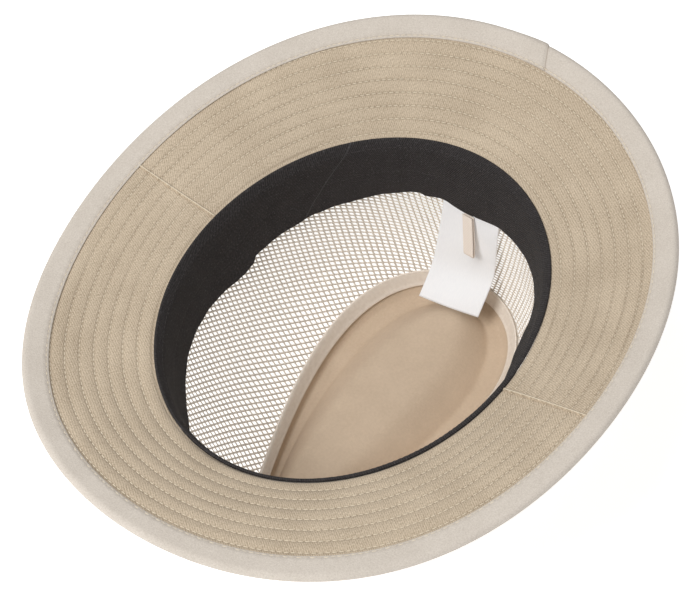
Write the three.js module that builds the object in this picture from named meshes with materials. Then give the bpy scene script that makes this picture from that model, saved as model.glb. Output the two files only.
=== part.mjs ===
// A safari hat of cotton twill with a crown of net, lying upside down on the ridge of its crown.
// Millimetres, +Z up and out of the head opening, +Y to the back of the hat, +X to the wearer's right.
// The origin is the middle of the hat's outline, on the surface that it rests on.
import * as THREE from 'three';
import { ParametricGeometry } from 'three/addons/geometries/ParametricGeometry.js';
import { mergeVertices } from 'three/addons/utils/BufferGeometryUtils.js';

// Driving sizes
const headLength = 206.2; // head opening, front to back
const headWidth = 167.6; // head opening, side to side
const brimWidth = 61.6; // from the head opening to the edge, along the cloth
const brimThickness = 1.8; // two layers of twill, stitched together
const bindingWidth = 12.2; // how far the edge binding reaches in over the brim
const bindingThickness = 1;
const crownHeight = 112; // from the head opening to the outside of the ridge
const seamDepth = 99; // from the head opening to the seam between net and tip
const dentDepth = 15; // from the ridge to the middle of the dent
const netThickness = 1;
const tipThickness = 1.5;
const bandDepth = 37; // sweatband
const bandThickness = 1.5;
const bandRise = 0.8; // how far the sweatband's fold stands proud of the brim
const tapeWidth = 9.5; // tape over the seam between net and tip
const tapeLap = 1.2; // the part of it that lies on the net
const tapeThickness = 1;
const labelWidth = 36.5;
const labelLength = 63; // straight from its top to its free end
const labelThickness = 1;
const labelLean = 22.5; // how far the label's free end swings in from the wall
const labelSide = 2; // its middle, to the wearer's right of the hat's centre back
const labelSwing = 5; // how far its free end swings to the wearer's left
const labelTurn = 17; // degrees that its free end turns about the upright
const loopWidth = 6; // folded size ribbon
const loopLength = 20;
const loopSide = -5; // its middle, from the hat's centre back
const loopThickness = 0.8;
const loopFold = 0.4; // inner radius of its fold
const loopTilt = 20; // degrees that it leans inwards
const noseBluntness = 0.42; // how much the crown's narrow front is rounded off
const clearance = 0.3; // between neighbouring pieces

// How finely the cloth is divided
const stepsAround = 72;
const brimRows = 5;
const netRows = 7;
const bandRows = 3;
const tipRows = 11;
const tapeRows = 2;
const labelRows = 6;
const labelColumns = 6;

// The brim at eight places, at equal steps round the hat from the wearer's right by way of the back.
// slope: rise of the cloth at the head opening and at the edge, in degrees; width: share of brimWidth.
const brimSections = [
  { slopeHead: 24, slopeEdge: 20, width: 0.98 },
  { slopeHead: 16, slopeEdge: 28, width: 1.015 },
  { slopeHead: 27, slopeEdge: 30, width: 1.04 },
  { slopeHead: 28, slopeEdge: 19, width: 1.015 },
  { slopeHead: 5, slopeEdge: 8, width: 0.98 },
  { slopeHead: 2, slopeEdge: 14, width: 0.985 },
  { slopeHead: 26, slopeEdge: 15, width: 0.997 },
  { slopeHead: 25, slopeEdge: 7, width: 0.985 },
];

// The crown's side wall, from the head opening down to the ridge.
// depth: share of crownHeight; width, length: shares of the head opening;
// taper: how much the outline narrows to the front; shift: share of the half length towards the back.
const wallSections = [
  { depth: 0, width: 1, length: 1, taper: 0, shift: 0 },
  { depth: 0.33, width: 0.91, length: 0.97, taper: 0.11, shift: -0.003 },
  { depth: 0.62, width: 0.74, length: 0.965, taper: 0.3, shift: 0.006 },
  { depth: 0.8, width: 0.574, length: 0.955, taper: 0.49, shift: 0.016 },
  { depth: 0.9, width: 0.478, length: 0.943, taper: 0.61, shift: 0.028 },
];

// The tip, from its seam (0) to the middle line of the dent (1).
// width, length, taper: shares of the outline at the seam; shift: share of its half length towards the back;
// sink: share of the way from the seam down to the ridge; rise: share of dentDepth.
const tipSections = [
  { inward: 0, width: 1, length: 1, taper: 1, shift: 0, sink: 0, rise: 0 },
  { inward: 0.16, width: 0.93, length: 0.94, taper: 0.9, shift: 0.033, sink: 0.66, rise: 0 },
  { inward: 0.28, width: 0.86, length: 0.9, taper: 0.82, shift: 0.03, sink: 1.06, rise: 0 },
  { inward: 0.4, width: 0.75, length: 0.87, taper: 0.72, shift: 0.026, sink: 1.06, rise: 0 },
  { inward: 0.54, width: 0.62, length: 0.83, taper: 0.6, shift: 0.022, sink: 1, rise: 0.3 },
  { inward: 0.72, width: 0.4, length: 0.73, taper: 0.5, shift: 0.02, sink: 1, rise: 0.84 },
  { inward: 0.86, width: 0.2, length: 0.61, taper: 0.4, shift: 0.02, sink: 1, rise: 0.97 },
  { inward: 1, width: 0, length: 0.5, taper: 0.4, shift: 0.02, sink: 1, rise: 1 },
];

// Hollows that fingers press into the front of the crown, one on each side.
// angle, spread: degrees round the hat; level, reach: shares of crownHeight; press: share of the half width.
const pinches = [
  { angle: -55, spread: 20, level: 0.66, reach: 0.24, press: 0.17 },
  { angle: -125, spread: 20, level: 0.66, reach: 0.24, press: 0.17 },
];

// Places where the sweatband's free edge puckers or stands off the wall.
// angle, spread: degrees round the hat; rise: how far the edge draws up, as a share of bandDepth;
// lean: how far it stands in from the wall, as a share of bandDepth.
const puckers = [
  { angle: 35, spread: 34, rise: 0, lean: 0.13 },
  { angle: 93, spread: 4, rise: 0.045, lean: 0.01 },
  { angle: 112, spread: 5, rise: 0.035, lean: 0.01 },
  { angle: 174, spread: 6, rise: 0.05, lean: 0.03 },
  { angle: 232, spread: 8, rise: 0.03, lean: 0.02 },
  { angle: 318, spread: 8, rise: 0.04, lean: 0.02 },
];

// Half the thickness of the brim's edge, inside and outside its binding
const edgeInside = brimThickness / 2 + clearance;
const edgeOutside = edgeInside + bindingThickness;

// How the care label bows: shares of the way down it, of its drop and of its lean.
const labelSections = [
  { down: 0, drop: 0, lean: 0 },
  { down: 0.33, drop: 0.36, lean: 0.19 },
  { down: 0.66, drop: 0.7, lean: 0.44 },
  { down: 1, drop: 1, lean: 1 },
];

const fullTurn = 2 * Math.PI;
const radians = THREE.MathUtils.degToRad;
const bump = (x) => Math.exp(-x * x);

// Smooth curves through the columns of a table, read at any place along one of them.
function readAlong(rows, key) {
  const columns = Object.keys(rows[0]).filter((column) => column !== key);
  const places = rows.map((row) => row[key]);
  const values = rows.flatMap((row) => columns.map((column) => row[column]));
  const curve = new THREE.CubicInterpolant(places, values, columns.length);
  return (place) => {
    const read = curve.evaluate(place);
    return Object.fromEntries(columns.map((column, i) => [column, read[i]]));
  };
}

// A smooth wave through one column of a table whose rows stand at equal steps round the hat.
function readAround(rows, column, angle) {
  const count = rows.length;
  return rows.reduce((sum, row, k) => {
    const half = (angle - (fullTurn * k) / count) / 2;
    const spread = Math.tan(half) * count;
    const weight = Math.abs(Math.sin(half)) < 1e-9 ? 1 : Math.sin(count * half) / spread;
    return sum + weight * row[column];
  }, 0);
}

const wallAt = readAlong(wallSections, 'depth');
const tipAt = readAlong(tipSections, 'inward');
const labelAt = readAlong(labelSections, 'down');

// Surfaces of the cloth. Each gives the side that shows when one looks into the hat.

const brimReach = (angle) => brimWidth * readAround(brimSections, 'width', angle);

// The brim leaves the head opening square to it, and its section is an arc.
function brimFace(angle, out) {
  const slopeHead = radians(readAround(brimSections, 'slopeHead', angle));
  const slopeEdge = radians(readAround(brimSections, 'slopeEdge', angle));
  const bend = ((slopeEdge - slopeHead) * out) / brimWidth / 2;
  const chord = Math.abs(bend) < 1e-9 ? out : (out * Math.sin(bend)) / bend;
  const away = new THREE.Vector2(Math.cos(angle) * headLength, Math.sin(angle) * headWidth).normalize();
  const run = chord * Math.cos(slopeHead + bend);
  return new THREE.Vector3(
    (headWidth / 2) * Math.cos(angle) + away.x * run,
    (headLength / 2) * Math.sin(angle) + away.y * run,
    chord * Math.sin(slopeHead + bend),
  );
}

function pinchAt(angle, level) {
  return pinches.reduce((sum, pinch) => {
    const round = Math.sin((angle - radians(pinch.angle)) / 2) * 2;
    const near = bump(round / radians(pinch.spread)) * bump((level - pinch.level) / pinch.reach);
    return sum + pinch.press * near;
  }, 0);
}

// The half width of an oval that narrows to the front, as a share of its half width at the middle.
function taperedOval(angle, taper) {
  const nose = 1 - noseBluntness * taper * Math.max(0, -Math.sin(angle)) ** 2;
  const across = Math.cos(angle);
  return Math.sign(across) * Math.abs(across) ** nose * (1 + taper * Math.sin(angle));
}

function wallFace(angle, depth) {
  const level = depth / crownHeight;
  const row = wallAt(level);
  const halfWidth = row.width * (headWidth / 2 + clearance);
  const halfLength = row.length * (headLength / 2 + clearance);
  const x = halfWidth * taperedOval(angle, row.taper) * (1 - pinchAt(angle, level));
  return new THREE.Vector3(x, halfLength * (Math.sin(angle) + row.shift), -depth);
}

function tipFace(angle, inward) {
  const seamLevel = seamDepth / crownHeight;
  const seam = wallAt(seamLevel);
  const row = tipAt(inward);
  const halfWidth = seam.width * (headWidth / 2 + clearance);
  const halfLength = seam.length * (headLength / 2 + clearance);
  const pinch = pinchAt(angle, seamLevel) * (1 - inward);
  const x = row.width * halfWidth * taperedOval(angle, row.taper * seam.taper) * (1 - pinch);
  const y = halfLength * (row.length * Math.sin(angle) + seam.shift + row.shift);
  const ridgeDepth = crownHeight - tipThickness;
  const depth = seamDepth + row.sink * (ridgeDepth - seamDepth) - row.rise * dentDepth;
  return new THREE.Vector3(x, y, -Math.min(depth, ridgeDepth));
}

// The point at a distance from a surface: above the brim, or outside the wall and the tip.
// At the middle line of the tip, where the surface is level, that is straight down.
function offFace(face, angle, across, distance) {
  const point = face(angle, across);
  if (face === tipFace && across === 1) return point.setZ(point.z - distance);
  const step = 1e-3;
  const round = face(angle + step, across).sub(face(angle - step, across));
  const along = face(angle, across + step).sub(face(angle, across - step));
  return point.addScaledVector(along.cross(round).normalize(), distance);
}

// The share of the tip's way inwards that lies at a distance from its seam, along the cloth.
function tipShare(angle, distance) {
  const step = 0.02;
  return (distance * step) / tipFace(angle, step).distanceTo(tipFace(angle, 0));
}

// Meshes

// A closed mesh of a grid of points, where points that lie together are one.
function clothMesh(name, colour, slices, stacks, pointAt) {
  const place = (u, v, target) => target.copy(pointAt(Math.round(u * slices), Math.round(v * stacks)));
  const grid = new ParametricGeometry(place, slices, stacks);
  grid.deleteAttribute('normal');
  grid.deleteAttribute('uv');
  const geometry = mergeVertices(grid, 1e-4);
  geometry.computeVertexNormals();
  const material = new THREE.MeshStandardMaterial({ color: colour, roughness: 0.9, metalness: 0 });
  const mesh = new THREE.Mesh(geometry, material);
  mesh.name = name;
  return mesh;
}

// Where corner i of a sheet's section lies: it goes along the sheet's far side and back along its near side.
// The far side is the upper one of the brim, and the outer one of the crown.
function sheetCorner(i, rows) {
  const k = i % (2 * rows + 2);
  return k <= rows ? { share: k / rows, far: true } : { share: (2 * rows + 1 - k) / rows, far: false };
}

// A sheet that runs all the way round. pointAt takes an angle, a share of the way across, and the side.
function ringMesh(name, colour, steps, rows, pointAt) {
  return clothMesh(name, colour, 2 * rows + 2, steps, (i, j) => {
    const corner = sheetCorner(i, rows);
    return pointAt((fullTurn * (j % steps)) / steps, corner.share, corner.far);
  });
}

// A sheet with two ends, which are closed by drawing both of its sides to the middle between them.
function stripMesh(name, colour, steps, rows, pointAt) {
  return clothMesh(name, colour, 2 * rows + 2, steps + 2, (i, j) => {
    const corner = sheetCorner(i, rows);
    const share = THREE.MathUtils.clamp((j - 1) / steps, 0, 1);
    const point = pointAt(share, corner.share, corner.far);
    const isEnd = j === 0 || j === steps + 2;
    return isEnd ? point.add(pointAt(share, corner.share, !corner.far)).multiplyScalar(0.5) : point;
  });
}

function brimPanel(name, startAngle) {
  const seamAngle = clearance / headLength;
  return stripMesh(name, 0xbfad97, stepsAround / 2, brimRows, (along, across, far) => {
    const angle = startAngle + seamAngle + along * (Math.PI - 2 * seamAngle);
    const out = THREE.MathUtils.lerp(clearance, brimReach(angle) - edgeOutside, across);
    return offFace(brimFace, angle, out, far ? 0 : -brimThickness);
  });
}

// The binding's section: one strip folded over the brim's edge.
// Each corner is its distance in from the edge, and its height over the middle of the brim.
function bindingSection() {
  const fold = (radius, degrees) => ({
    inset: edgeOutside - radius * Math.cos(radians(degrees)),
    height: radius * Math.sin(radians(degrees)),
  });
  const half = bindingWidth / 2;
  return [
    { inset: bindingWidth, height: edgeOutside },
    { inset: half, height: edgeOutside },
    ...[90, 45, 0, -45, -90].map((degrees) => fold(edgeOutside, degrees)),
    { inset: half, height: -edgeOutside },
    { inset: bindingWidth, height: -edgeOutside },
    { inset: bindingWidth, height: -edgeInside },
    ...[-90, 0, 90].map((degrees) => fold(edgeInside, degrees)),
    { inset: bindingWidth, height: edgeInside },
  ];
}

function brimBinding() {
  const section = bindingSection();
  return clothMesh('brim_binding', 0xd4cbbe, section.length, stepsAround, (i, j) => {
    const angle = (fullTurn * (j % stepsAround)) / stepsAround;
    const corner = section[i % section.length];
    const out = brimReach(angle) - corner.inset;
    return offFace(brimFace, angle, out, corner.height - brimThickness / 2);
  });
}

function crownNet() {
  const top = brimThickness + clearance;
  return ringMesh('crown_net', 0xe0d8c8, stepsAround, netRows, (angle, across, far) => {
    const depth = THREE.MathUtils.lerp(top, seamDepth, across);
    return offFace(wallFace, angle, depth, far ? netThickness : 0);
  });
}

// The tip has no hole in its middle: both sides of its dent close along the middle line.
// Its outside is flattened where the hat rests on it.
function crownTip() {
  const corners = 2 * tipRows + 1;
  return clothMesh('crown_tip', 0xc0a98e, corners, stepsAround, (i, j) => {
    const angle = (fullTurn * (j % stepsAround)) / stepsAround;
    const outside = i > tipRows;
    const fromMiddle = (outside ? corners - i : i) / tipRows;
    const inward = THREE.MathUtils.lerp(1, tipShare(angle, clearance), fromMiddle);
    const point = offFace(tipFace, angle, inward, outside ? tipThickness : 0);
    return point.setZ(Math.max(point.z, -crownHeight));
  });
}

// How much the puckers draw the sweatband's free edge up or in at a place round the hat.
function puckerAt(angle, column) {
  return puckers.reduce((sum, pucker) => {
    const round = Math.sin((angle - radians(pucker.angle)) / 2) * 2;
    return sum + bandDepth * pucker[column] * bump(round / radians(pucker.spread));
  }, 0);
}

// The sweatband's fold stands a little proud of the brim, and from there the band hangs by the wall.
function sweatband() {
  return ringMesh('sweatband', 0x2b2827, stepsAround, bandRows, (angle, across, far) => {
    const depth = THREE.MathUtils.lerp(-bandRise, bandDepth - puckerAt(angle, 'rise'), across);
    const off = clearance + (far ? 0 : bandThickness) + across * puckerAt(angle, 'lean');
    return offFace(wallFace, angle, depth, -off);
  });
}

// The tape covers the seam from inside: its outer edge lies on the net and the rest on the tip.
function seamTape() {
  return ringMesh('seam_tape', 0xb9a997, stepsAround, tapeRows, (angle, across, far) => {
    const off = far ? -clearance : -clearance - tapeThickness;
    if (across === 0) return offFace(wallFace, angle, seamDepth - tapeLap, off);
    const onTip = (across * tapeRows - 1) / (tapeRows - 1);
    const distance = THREE.MathUtils.lerp(clearance, tapeWidth - tapeLap, onTip);
    return offFace(tipFace, angle, tipShare(angle, distance), off);
  });
}

// The free end of the label hangs clear of the wall, so the label leaves the wall's curve and goes straight.
function careLabel() {
  const top = bandDepth + clearance;
  const wall = wallFace(Math.PI / 2, top);
  const halfWidth = wallFace(0, top).x;
  const fall = Math.sqrt(labelLength ** 2 - labelLean ** 2);
  const pointAt = (down, across, off) => {
    const fromMiddle = (across - 0.5) * labelWidth;
    const side = labelSide + fromMiddle;
    const curved = wall.y * (Math.sqrt(1 - (side / halfWidth) ** 2) - 1);
    const straight = fromMiddle * Math.tan(radians(labelTurn));
    const freed = THREE.MathUtils.smoothstep(down, 0, 0.7);
    const { drop, lean } = labelAt(down);
    const y = wall.y + THREE.MathUtils.lerp(curved, straight, freed) - labelLean * lean - clearance - off;
    return new THREE.Vector3(side - labelSwing * down, y, -top - fall * drop);
  };
  return stripMesh('care_label', 0xe9e9ea, labelColumns, labelRows, (along, across, far) =>
    pointAt(across, 1 - along, far ? 0 : labelThickness));
}

// The size ribbon hangs from the sweatband in front of the label, folded at its lower end.
function sizeLoop() {
  const outer = loopFold + loopThickness;
  const run = loopLength - outer;
  const fold = new THREE.Shape();
  fold.moveTo(-outer, 0);
  fold.lineTo(-outer, -run);
  fold.absarc(0, -run, outer, Math.PI, fullTurn, false);
  fold.lineTo(outer, 0);
  fold.lineTo(loopFold, 0);
  fold.lineTo(loopFold, -run);
  fold.absarc(0, -run, loopFold, fullTurn, Math.PI, true);
  fold.lineTo(-loopFold, 0);
  fold.closePath();
  const ribbon = new THREE.ExtrudeGeometry(fold, { depth: loopWidth, bevelEnabled: false, curveSegments: 6 });
  const material = new THREE.MeshStandardMaterial({ color: 0xe6d8cb, roughness: 0.8, metalness: 0 });
  const mesh = new THREE.Mesh(ribbon, material);
  mesh.name = 'size_loop';
  const depth = bandDepth + clearance;
  const outerSide = Math.sign(loopSide) * (Math.abs(loopSide) + loopWidth / 2);
  const wall = wallFace(Math.acos(outerSide / wallFace(0, depth).x), depth);
  const [right, back, up] = [0, 1, 2].map((axis) => new THREE.Vector3().setComponent(axis, 1));
  mesh.quaternion.setFromRotationMatrix(new THREE.Matrix4().makeBasis(back, up, right));
  mesh.rotateOnWorldAxis(right, -radians(loopTilt));
  mesh.position.set(loopSide - loopWidth / 2, wall.y - labelThickness - 2 * clearance - outer, wall.z);
  return mesh;
}

const hat = new THREE.Group();
hat.add(
  brimPanel('brim_back', 0),
  brimPanel('brim_front', Math.PI),
  brimBinding(),
  crownNet(),
  crownTip(),
  sweatband(),
  seamTape(),
  careLabel(),
  sizeLoop(),
);

// The whole hat stands with the middle of its outline over the origin.
const reach = new THREE.Box3().setFromObject(hat);
const middle = reach.getCenter(new THREE.Vector3());
hat.position.set(-middle.x, -middle.y, -reach.min.z);
export default hat;
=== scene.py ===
import math
from functools import cache, partial

import bmesh
import bpy
import numpy as np
from mathutils import Matrix, Vector


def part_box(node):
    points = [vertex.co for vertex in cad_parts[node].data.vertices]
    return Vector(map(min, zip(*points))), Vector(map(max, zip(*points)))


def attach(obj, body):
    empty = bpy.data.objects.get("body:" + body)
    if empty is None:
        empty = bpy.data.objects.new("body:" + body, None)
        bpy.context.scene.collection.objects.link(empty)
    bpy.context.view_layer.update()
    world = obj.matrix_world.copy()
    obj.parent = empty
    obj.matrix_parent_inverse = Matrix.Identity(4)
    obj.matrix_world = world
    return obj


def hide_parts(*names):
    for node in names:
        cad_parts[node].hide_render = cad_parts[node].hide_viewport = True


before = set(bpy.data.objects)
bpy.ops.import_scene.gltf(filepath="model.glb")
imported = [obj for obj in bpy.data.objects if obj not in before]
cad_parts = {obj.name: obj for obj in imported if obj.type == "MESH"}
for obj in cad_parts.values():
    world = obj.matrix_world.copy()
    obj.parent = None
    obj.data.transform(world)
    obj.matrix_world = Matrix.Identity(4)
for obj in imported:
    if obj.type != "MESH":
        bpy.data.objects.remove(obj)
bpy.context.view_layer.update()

# Crown net. The side of the crown is two panels of knitted polyester net, cut as arcs and joined at
# the back and the front. The yarn is looped into small four-sided cells, so the wall is see-through.
MM = 0.001
HEAD_LENGTH = 206.2 * MM  # head opening, front to back
HEAD_WIDTH = 167.6 * MM
CROWN_HEIGHT = 112 * MM  # from the head opening to the outside of the ridge
SEAM_DEPTH = 99 * MM  # from the head opening to the seam between net and tip
BAND_RISE = 0.8 * MM  # how far the sweatband's fold stands proud of the brim
NOSE_BLUNTNESS = 0.42  # how much the crown's narrow front is rounded off
CLEARANCE = 0.3 * MM  # between neighbouring pieces
BACK = math.radians(90)  # angles go round the hat from the wearer's right by way of the back
NET_TOP = 2.1 * MM  # where the net starts, under the brim
NET_WALL = 1 * MM  # the wall's thickness, with the yarn in its middle
NET_ARC = math.radians(48)  # of each panel as it is cut
NET_REACH = HEAD_LENGTH * 0.5 * math.pi * 0.91  # length of a panel along its upper edge
NET_SLANT = 1.08  # how much longer the net is than the wall is deep
NET_STRAND = 1.05 * MM  # width of a strand
NET_FLATNESS = 0.5  # how thick a strand is, as a share of its width
NET_KNOT = 0.75 * MM  # how far a knot reaches along the strands that it joins
NET_STEPS = (Vector((-2.97, -0.82)) * MM, Vector((-0.57, -2.69)) * MM)  # the two sides of a cell, laid flat
NET_CELLS = 150  # each way, more than a panel needs; the cells outside it are cut off
NET_SLIVER = (0.8 * MM) ** 2  # a cell cut to less than this at the panel's edge is left out
NET_OPEN = (1.1 * MM) ** 2  # a face larger than this is opened, so that only knots stay closed
# The wall's outline at some depths: shares of CROWN_HEIGHT and of the head opening.
WALL = [
    dict(depth=0, width=1, length=1, taper=0, shift=0),
    dict(depth=0.33, width=0.91, length=0.97, taper=0.11, shift=-0.003),
    dict(depth=0.62, width=0.74, length=0.965, taper=0.3, shift=0.006),
    dict(depth=0.8, width=0.574, length=0.955, taper=0.49, shift=0.016),
    dict(depth=0.9, width=0.478, length=0.943, taper=0.61, shift=0.028),
]
# Hollows that fingers press into the front of the crown.
PINCHES = [
    dict(angle=-55, spread=20, level=0.66, reach=0.24, press=0.17),
    dict(angle=-125, spread=20, level=0.66, reach=0.24, press=0.17),
]

band_low, band_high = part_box("sweatband")
opening = (band_low + band_high) / 2  # the middle of the head opening
opening.z = band_high.z - BAND_RISE


def bump(x):
    return math.exp(-x * x)


def read_along(rows, key, place):
    """Every other column of a table at a place along one of them, on smooth curves through its rows."""
    places = [row[key] for row in rows]
    last = len(rows) - 1
    i = min(max(sum(p <= place for p in places), 1), last)
    gap = places[i] - places[i - 1]
    share = min(max((place - places[i - 1]) / gap, 0), 1)

    def rise(k, column):
        return (rows[k][column] - rows[k - 1][column]) / (places[k] - places[k - 1])

    read = {}
    for column in rows[0]:
        here = rise(i, column)
        leave = (rise(max(i - 1, 1), column) + here) / 2
        reach = (rise(min(i + 1, last), column) + here) / 2
        ends = (2 * share**3 - 3 * share**2 + 1, 3 * share**2 - 2 * share**3)
        slopes = (share**3 - 2 * share**2 + share, share**3 - share**2)
        read[column] = (
            ends[0] * rows[i - 1][column] + ends[1] * rows[i][column]
            + gap * (slopes[0] * leave + slopes[1] * reach)
        )
    return read


@cache
def wall_row(level):
    return read_along(WALL, "depth", level)


def beside(angle, row):
    """1 at the angle of a table's row, and less the further round from it, by the row's spread."""
    round_it = 2 * math.sin((angle - math.radians(row["angle"])) / 2)
    return bump(round_it / math.radians(row["spread"]))


@cache
def pinch(angle, level):
    total = 0
    for row in PINCHES:
        total += row["press"] * beside(angle, row) * bump((level - row["level"]) / row["reach"])
    return total


def tapered_oval(angle, taper):
    """The half width of an oval that narrows to the front, as a share of its half width at the middle."""
    nose = 1 - NOSE_BLUNTNESS * taper * max(0, -math.sin(angle)) ** 2
    across = math.cos(angle)
    return math.copysign(abs(across) ** nose, across) * (1 + taper * math.sin(angle))


def wall_face(angle, depth):
    """A point on the inside of the crown's wall, from the middle of the head opening."""
    row = wall_row(depth / CROWN_HEIGHT)
    half_width = row["width"] * (HEAD_WIDTH / 2 + CLEARANCE)
    half_length = row["length"] * (HEAD_LENGTH / 2 + CLEARANCE)
    x = half_width * tapered_oval(angle, row["taper"]) * (1 - pinch(angle, depth / CROWN_HEIGHT))
    return Vector((x, half_length * (math.sin(angle) + row["shift"]), -depth))


def face_normal(face, angle, across):
    """Square to a surface: above the brim, or outside the wall and the tip."""
    step = 1e-3
    round_it = face(angle + step, across) - face(angle - step, across)
    along = face(angle, across + step) - face(angle, across - step)
    return along.cross(round_it).normalized()


def off_face(face, angle, across, distance):
    return opening + face(angle, across) + face_normal(face, angle, across) * distance


def even_angles(depth, count=181):
    """Angles that part the wall's left half into equal lengths at a depth, from the back to the front."""
    angles = np.linspace(BACK, BACK + math.pi, count)
    points = np.array([wall_face(angle, depth) for angle in angles])
    lengths = np.cumsum(np.linalg.norm(np.diff(points, axis=0, prepend=points[:1]), axis=1))
    return np.interp(np.linspace(0, 1, count), lengths / lengths[-1], angles)


def shown(mesh_or_bm, name, material):
    """An object of a finished mesh in its material, smooth all over, that rides on the hat's one body."""
    mesh = mesh_or_bm
    if isinstance(mesh_or_bm, bmesh.types.BMesh):
        mesh = bpy.data.meshes.new(name)
        mesh_or_bm.to_mesh(mesh)
        mesh_or_bm.free()
    mesh.shade_smooth()
    mesh.materials.append(material)
    piece = bpy.data.objects.new(name, mesh)
    bpy.context.scene.collection.objects.link(piece)
    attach(piece, "root")
    return piece


def srgb(colour):
    """The linear colour of six sRGB hex digits."""
    shares = [int(colour[i:i + 2], 16) / 255 for i in (0, 2, 4)]
    return [s / 12.92 if s <= 0.04045 else ((s + 0.055) / 1.055) ** 2.4 for s in shares] + [1]


def feed(tree, node, inputs):
    """Each of a node's inputs takes a value or another node's output."""
    for name, value in dict(inputs).items():
        if isinstance(value, bpy.types.NodeSocket):
            tree.links.new(value, node.inputs[name])
        else:
            node.inputs[name].default_value = value


def add(tree, kind, output, inputs=(), **settings):
    """Adds a shader node with its settings and links, and gives back the output that is used."""
    node = tree.nodes.new("ShaderNode" + kind)
    for name, value in settings.items():
        setattr(node, name, value)
    feed(tree, node, inputs)
    return node.outputs[output]


def new_finish(name):
    material = bpy.data.materials.new(name)
    material.use_nodes = True
    return material, material.node_tree, material.node_tree.nodes["Principled BSDF"]


# Polyester yarn: soft and dull, with a little sheen, and not quite evenly dyed. A faint painted glow
# (emission) keeps its shaded far side from going dark, in place of the light that passes through it.
net_yarn, tree, shader = new_finish("polyester_net_yarn")
spot = add(tree, "TexCoord", "Object")
mottle = add(tree, "TexNoise", "Fac", {"Vector": spot, "Scale": 1 / (6 * MM), "Detail": 3})
shade = add(tree, "Mix", "Result", {"Factor": mottle, "A": srgb("cbc0b2"), "B": srgb("e5dcd0")},
            data_type="RGBA")
# The faint emission below is a painted glow on the yarn's shaded side.
feed(tree, shader, {
    "Base Color": shade, "Roughness": 0.72, "Sheen Weight": 0.15,
    "Emission Color": srgb("efe6da"), "Emission Strength": 0.07,
})

net_levels = np.linspace(NET_TOP, SEAM_DEPTH, 13)
net_angles = np.array([even_angles(depth) for depth in net_levels])


def net_angle(share, depth):
    """The angle at a share of the way round a panel, so that its cells stay even."""
    column = share * (net_angles.shape[1] - 1)
    at_levels = [np.interp(column, range(len(row)), row) for row in net_angles]
    return float(np.interp(depth, net_levels, at_levels))


def net_panel(name, side):
    """One panel: cells on a flat arc, bent round the wall. side is 1 at the wearer's left."""
    outer = NET_REACH / NET_ARC
    bm = bmesh.new()
    bmesh.ops.create_grid(bm, x_segments=NET_CELLS, y_segments=NET_CELLS, size=NET_CELLS / 2)
    far = set()
    for vert in bm.verts:
        flat = NET_STEPS[0] * round(vert.co.x) + NET_STEPS[1] * round(vert.co.y)
        x, y = NET_REACH / 2 + flat.x, outer - SEAM_DEPTH / 2 + flat.y
        turn, radius = math.atan2(x, y), math.hypot(x, y)
        share, depth = turn / NET_ARC, NET_TOP + (outer - radius) / NET_SLANT
        if not (0 <= share <= 1 and NET_TOP <= depth <= SEAM_DEPTH):
            far.add(vert)
        share, depth = min(max(share, 0), 1), min(max(depth, NET_TOP), SEAM_DEPTH)
        vert.co = (share, depth, 0)
    gone = [face for face in bm.faces if all(vert in far for vert in face.verts)]
    bmesh.ops.delete(bm, geom=gone, context="FACES")
    for vert in bm.verts:
        share, depth = vert.co.x, vert.co.y
        angle = BACK + side * (net_angle(share, depth) - BACK)
        vert.co = off_face(wall_face, angle, depth, NET_WALL / 2)
    bmesh.ops.remove_doubles(bm, verts=bm.verts, dist=0.3 * MM)
    bmesh.ops.dissolve_degenerate(bm, edges=bm.edges, dist=0.1 * MM)
    slivers = [face for face in bm.faces if face.calc_area() < NET_SLIVER]
    bmesh.ops.delete(bm, geom=slivers, context="FACES")
    knots = [vert for vert in bm.verts if not vert.is_boundary]
    bmesh.ops.bevel(bm, geom=knots, offset=NET_KNOT, segments=1, affect="VERTICES", clamp_overlap=True)
    # The wireframe's square strands are pressed flat against the wall.
    place = bm.verts.layers.float_vector.new("place")
    away = bm.verts.layers.float_vector.new("away")
    bm.normal_update()
    for vert in bm.verts:
        vert[place], vert[away] = vert.co, vert.normal
    cells = [face for face in bm.faces if face.calc_area() > NET_OPEN]
    bmesh.ops.wireframe(bm, faces=cells, thickness=NET_STRAND, use_replace=True, use_boundary=True)
    for vert in bm.verts:
        vert.co -= vert[away] * (vert.co - vert[place]).dot(vert[away]) * (1 - NET_FLATNESS)
    bmesh.ops.recalc_face_normals(bm, faces=bm.faces)
    panel = shown(bm, name, net_yarn)
    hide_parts("crown_net")


net_panel("net_left", 1)
net_panel("net_right", -1)

# Crown tip. One piece of plain tan cotton, sewn to the net all round and pressed in along its middle,
# so that a ridge runs round a teardrop dent. Seen from inside, the dent is a dome between two valleys.
TIP_THICKNESS = 1.5 * MM
DENT_DEPTH = 15 * MM
TIP_ROWS = 44
TIP_COLUMNS = 240
# The tip from its seam (0) to the middle line of the dent (1): shares of the outline at the seam, of
# the way down from there to the ridge (sink) and of DENT_DEPTH (rise).
TIP = [
    dict(inward=0, width=1, length=1, taper=1, shift=0, sink=0, rise=0),
    dict(inward=0.16, width=0.93, length=0.94, taper=0.9, shift=0.033, sink=0.66, rise=0),
    dict(inward=0.28, width=0.86, length=0.9, taper=0.82, shift=0.03, sink=1.06, rise=0),
    dict(inward=0.4, width=0.75, length=0.87, taper=0.72, shift=0.026, sink=1.06, rise=0),
    dict(inward=0.54, width=0.62, length=0.83, taper=0.6, shift=0.022, sink=1, rise=0.3),
    dict(inward=0.72, width=0.4, length=0.73, taper=0.5, shift=0.02, sink=1, rise=0.84),
    dict(inward=0.86, width=0.2, length=0.61, taper=0.4, shift=0.02, sink=1, rise=0.97),
    dict(inward=1, width=0, length=0.5, taper=0.4, shift=0.02, sink=1, rise=1),
]


@cache
def tip_row(inward):
    return read_along(TIP, "inward", inward)


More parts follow.
